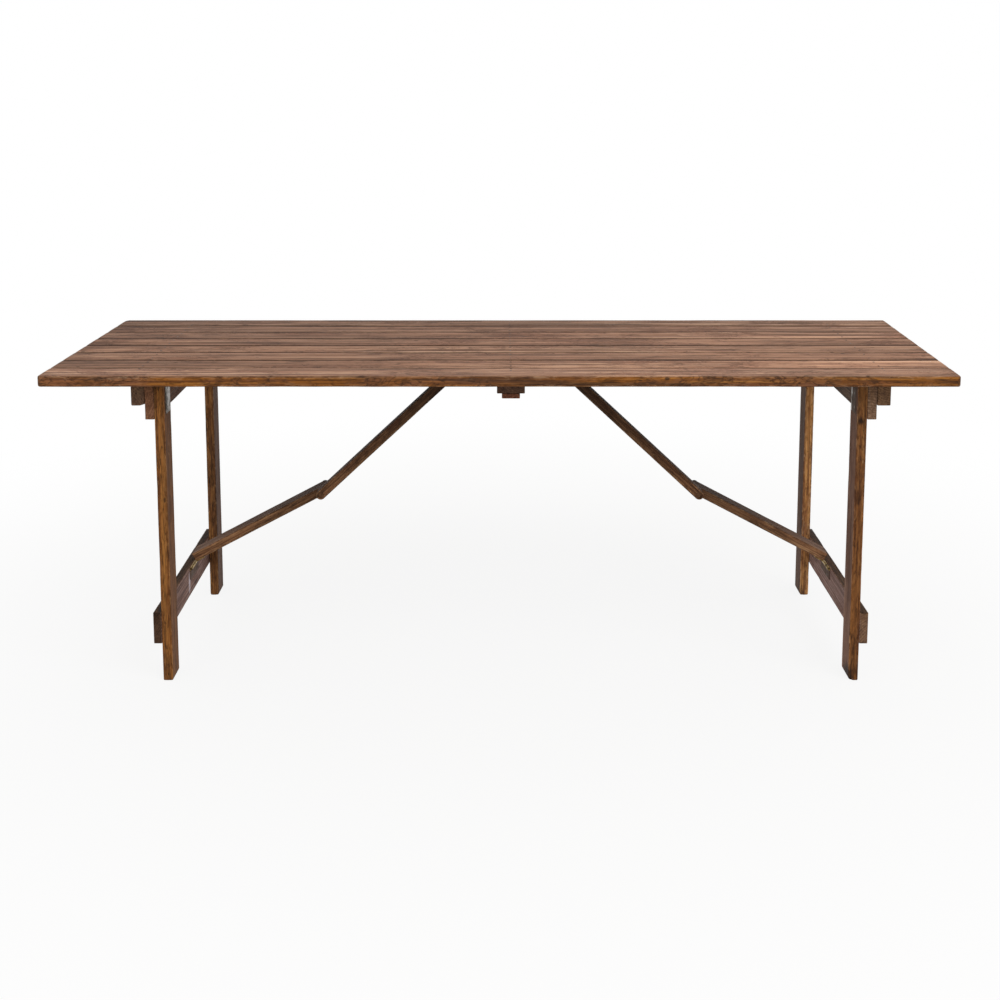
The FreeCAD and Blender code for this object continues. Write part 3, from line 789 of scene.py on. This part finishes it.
for side, mirror in (("left", -1), ("right", 1)):
    for name, hingeName in (("upper", "topHinge"), ("lower", "footHinge")):
        strut, hinge = braceSet[name], braceSet[hingeName]
        along, seat = strutLine(hinge, strut["thick"])
        start = hinge + seat * braceSet["barrel"]
        if name == "lower":
            start += along * braceSet["endGap"]
        reach = (braceSet["knee"] - start).dot(along)
        onSide = Vector((mirror, 1, 1))
        origin = (braceSet["knee"] - along * reach) * onSide
        origin.x += braceSet["shift"]
        origin.y = sum(strut["lane"]) / 2
        node = "%s_%s_strut" % (side, name)
        makeBoard(node + "_board", node, "%s_%s_brace" % (side, name), pineFrame, {
            "half": ((strut["lane"][1] - strut["lane"][0]) / 2, strut["thick"] / 2),
            "origin": origin,
            "axes": (along * onSide, yAxis, seat * onSide),
            "start": flatCut(reach, along, seat) if name == "upper" else squareEnd(0.0),
            "end": squareEnd(reach),
            "roundEnd": strut["thick"] / 2,
            **{key: braceSet[key] for key in ("arris", "chips", "bare", "faceShade", "station")},
            "shade": strut["shades"][side],
            "fade": strut["fade"],
            "seed": strut["seed"] + (braceSet["leftSeed"] if side == "left" else 0),
        })
print("braces hung")

# metal: pressed steel hinges under thin zinc, brassed brace hinges, dark iron nails and bolts;
# each goes on a material slot or on single pieces
metalSet = {
    "zinc plated pressed steel": {
        "on": ("grey_hinge_steel",), "base": "6c6660", "worn": "938b83", "grime": "352d26",
        "rough": (0.34, 0.6), "spangle": 7.0},  # mm
    "brassed pressed steel": {
        "on": ("brassed_hinge",), "base": "7d6231", "worn": "b89b5a", "grime": "3d2c18",
        "rough": (0.34, 0.6), "spangle": 6.0, "bareFrom": ("Z", 160.5, 190.0), "stain": "5a4740"},
    # the light strip along the back edge of the front leaf is bare metal with a painted highlight
    "zinc plated steel stained with the leg": {
        "on": ("right_leg_hinge_leaves",), "base": "8f8982", "worn": "c0b9b0", "grime": "4a4037",
        "rough": (0.34, 0.6), "spangle": 7.0, "bareFrom": ("Y", -279.0, -266.0), "stain": "5b4a40"},
    "black iron, drawn and oiled": {
        "on": ("dark_iron",), "base": "3d3733", "worn": "6b625a", "grime": "231a14",
        "rough": (0.42, 0.7), "spangle": 4.0},
    "iron bolt stained with the wood": {
        "on": ("left_knee_bolt", "right_knee_bolt"), "base": "4a3323", "worn": "634631", "grime": "2b1c12",
        "rough": (0.5, 0.75), "spangle": 5.0},
}
platingSet = {
    "blotch": (0.35, 0.68),
    "grimeSpread": 3,      # grime patches beside the spangle
    "grime": (0.48, 0.66),
    "grimeShare": 0.8,
    "grimeRough": (0.4, 0.65),
    "scratch": 1.2,        # mm
    "scratchDepth": 0.05,
    "scratchStrength": 0.5,
    "metallic": 0.85,
    "stainEdge": 0.7,      # mm over which a stain thins out
    "stainShare": 0.94,
    "stainRough": 0.4,
    "specular": 0.2,
}


def makeMetal(name, look):
    # thin plating: soft blotches a few mm across, dull grime in the low places, bright rubbed spots
    material, tree = newMaterial(name)
    place = addNode(tree, "ShaderNodeTexCoord").outputs["Object"]
    blotch = addNoise(tree, place, 1 / (look["spangle"] * mm), 4.0)
    grime = addNoise(tree, place, 1 / (platingSet["grimeSpread"] * look["spangle"] * mm), 6.0)
    scratch = addNoise(tree, place, 1 / (platingSet["scratch"] * mm), 2.0)
    colour = addRamp(tree, blotch, *zip(platingSet["blotch"], (look["base"], look["worn"])))
    dirty = addRamp(tree, grime, *rise(platingSet["grime"], platingSet["grimeShare"]))
    colour = addMix(tree, dirty, colour, look["grime"])
    rough = addRange(tree, grime, platingSet["grimeRough"], look["rough"])
    metallic = platingSet["metallic"]
    if "bareFrom" in look:  # stained over with the wood, and rubbed bare in one strip only; on the right leg leaves that strip is also a painted highlight
        axis, low, high = look["bareFrom"]
        middle, half, edge = (low + high) / 2 * mm, (high - low) / 2 * mm, platingSet["stainEdge"] * mm
        spot = addNode(tree, "ShaderNodeSeparateXYZ", None, {0: place}).outputs[axis]
        away = addMath(tree, "ABSOLUTE", addMath(tree, "SUBTRACT", spot, middle))
        stained = addRange(tree, away, (half - edge, half + edge), (0.0, platingSet["stainShare"]))
        colour = addMix(tree, stained, colour, look["stain"])
        metallic = addRange(tree, stained, toPair=(platingSet["metallic"], 0.0))
        rough = addMath(tree, "MULTIPLY_ADD", stained, platingSet["stainRough"], rough)
    bump = addNode(tree, "ShaderNodeBump", None, {
        "Height": scratch, "Distance": platingSet["scratchDepth"] * mm,
        "Strength": platingSet["scratchStrength"]})
    shader = addNode(tree, "ShaderNodeBsdfPrincipled", None, {
        "Base Color": colour, "Metallic": metallic, "Roughness": rough, "Normal": bump.outputs[0],
        "Specular IOR Level": platingSet["specular"]})
    addNode(tree, "ShaderNodeOutputMaterial", None, {"Surface": shader.outputs[0]})
    return material


metalFor = {}
for metalName, look in metalSet.items():
    metalFor.update(dict.fromkeys(look["on"], makeMetal(metalName, look)))
for subpart in frame["record"]["subparts"]:
    metal = metalFor.get(subpart["node"], metalFor.get(subpart["material_slot"]))
    if metal:
        for place in frame["nodes"][subpart["node"]].material_slots:
            place.material = metal
print("metal finished")

# white sweep, soft studio light and the camera
stageSet = {
    "floorHalf": 14.0,     # m
    "floorWhite": "c9c7c4",
    "floorGlow": 0.88,
    "fade": (0.6, 2.6),    # m from the table's middle where the floor starts and ends its run out to white
    "dome": 0.68,
    "key": {"at": (2.2, -3.0, 4.2), "size": (3.4, 2.2), "power": 135.0},
    "fill": {"at": (-2.6, -3.6, 2.2), "size": (2.4, 2.4), "power": 20.0},
    "aim": (0.0, 0.0, 0.55),
}
cameraSet = {
    "at": (-3.3, -3713.2, 1468.4),  # mm
    "pitch": 8.239,        # degrees down; the photo's larger shift would push other views out of the picture
    "lens": 53.08,
    "sensor": 36.0,
    "shift": (-0.001, -0.22),
}


def addSeenRays(tree):
    # rays that should find plain white: straight to the camera, mirrored or through glass
    rays = addNode(tree, "ShaderNodeLightPath").outputs
    seen = addMath(tree, "MAXIMUM", rays["Is Camera Ray"], rays["Is Glossy Ray"])
    return addMath(tree, "MAXIMUM", seen, rays["Is Transmission Ray"])


floorMesh = bpy.data.meshes.new("studio_floor")
reach = stageSet["floorHalf"]
floorMesh.from_pydata([(-reach, -reach, 0), (reach, -reach, 0), (reach, reach, 0), (-reach, reach, 0)],
                      [], [(0, 1, 2, 3)])
floor = bpy.data.objects.new("studio_floor", floorMesh)
bpy.context.collection.objects.link(floor)
paper, tree = newMaterial("matt white studio paper")
spot = addNode(tree, "ShaderNodeTexCoord").outputs["Object"]
away = addNode(tree, "ShaderNodeVectorMath", {"operation": "LENGTH"}, {0: spot}).outputs["Value"]
fade = addRange(tree, away, stageSet["fade"], (stageSet["floorGlow"], 1.0), "SMOOTHSTEP")
matt = addNode(tree, "ShaderNodeBsdfDiffuse", None, {"Color": hexToLinear(stageSet["floorWhite"])})
glow = addNode(tree, "ShaderNodeEmission", None, {"Color": (1, 1, 1, 1), "Strength": 1.0})
both = addNode(tree, "ShaderNodeMixShader", None, {
    0: addMath(tree, "MULTIPLY", addSeenRays(tree), fade), 1: matt.outputs[0], 2: glow.outputs[0]})
addNode(tree, "ShaderNodeOutputMaterial", None, {"Surface": both.outputs[0]})
floorMesh.materials.append(paper)

world = bpy.data.worlds.new("white studio")
bpy.context.scene.world = world
world.use_nodes = True
tree = world.node_tree
tree.nodes.clear()
level = addRange(tree, addSeenRays(tree), toPair=(stageSet["dome"], 1.0))
sky = addNode(tree, "ShaderNodeBackground", None, {"Color": (1, 1, 1, 1), "Strength": level})
addNode(tree, "ShaderNodeOutputWorld", None, {"Surface": sky.outputs[0]})

for name in ("key", "fill"):
    lamp = bpy.data.lights.new("studio_" + name, "AREA")
    lamp.shape = "RECTANGLE"
    lamp.size, lamp.size_y = stageSet[name]["size"]
    lamp.energy = stageSet[name]["power"]
    holder = bpy.data.objects.new("studio_" + name, lamp)
    bpy.context.collection.objects.link(holder)
    holder.location = stageSet[name]["at"]
    sight = Vector(stageSet["aim"]) - holder.location
    holder.rotation_euler = sight.to_track_quat("-Z", "Y").to_euler()

lens = bpy.data.cameras.new("photo_camera")
lens.lens = cameraSet["lens"]
lens.sensor_width = cameraSet["sensor"]
lens.shift_x, lens.shift_y = cameraSet["shift"]
camera = bpy.data.objects.new("photo_camera", lens)
bpy.context.collection.objects.link(camera)
camera.location = Vector(cameraSet["at"]) * mm
camera.rotation_euler = (math.radians(90 - cameraSet["pitch"]), 0, 0)
bpy.context.scene.camera = camera
bpy.context.scene.view_settings.view_transform = "Standard"
print("stage lit, camera set")
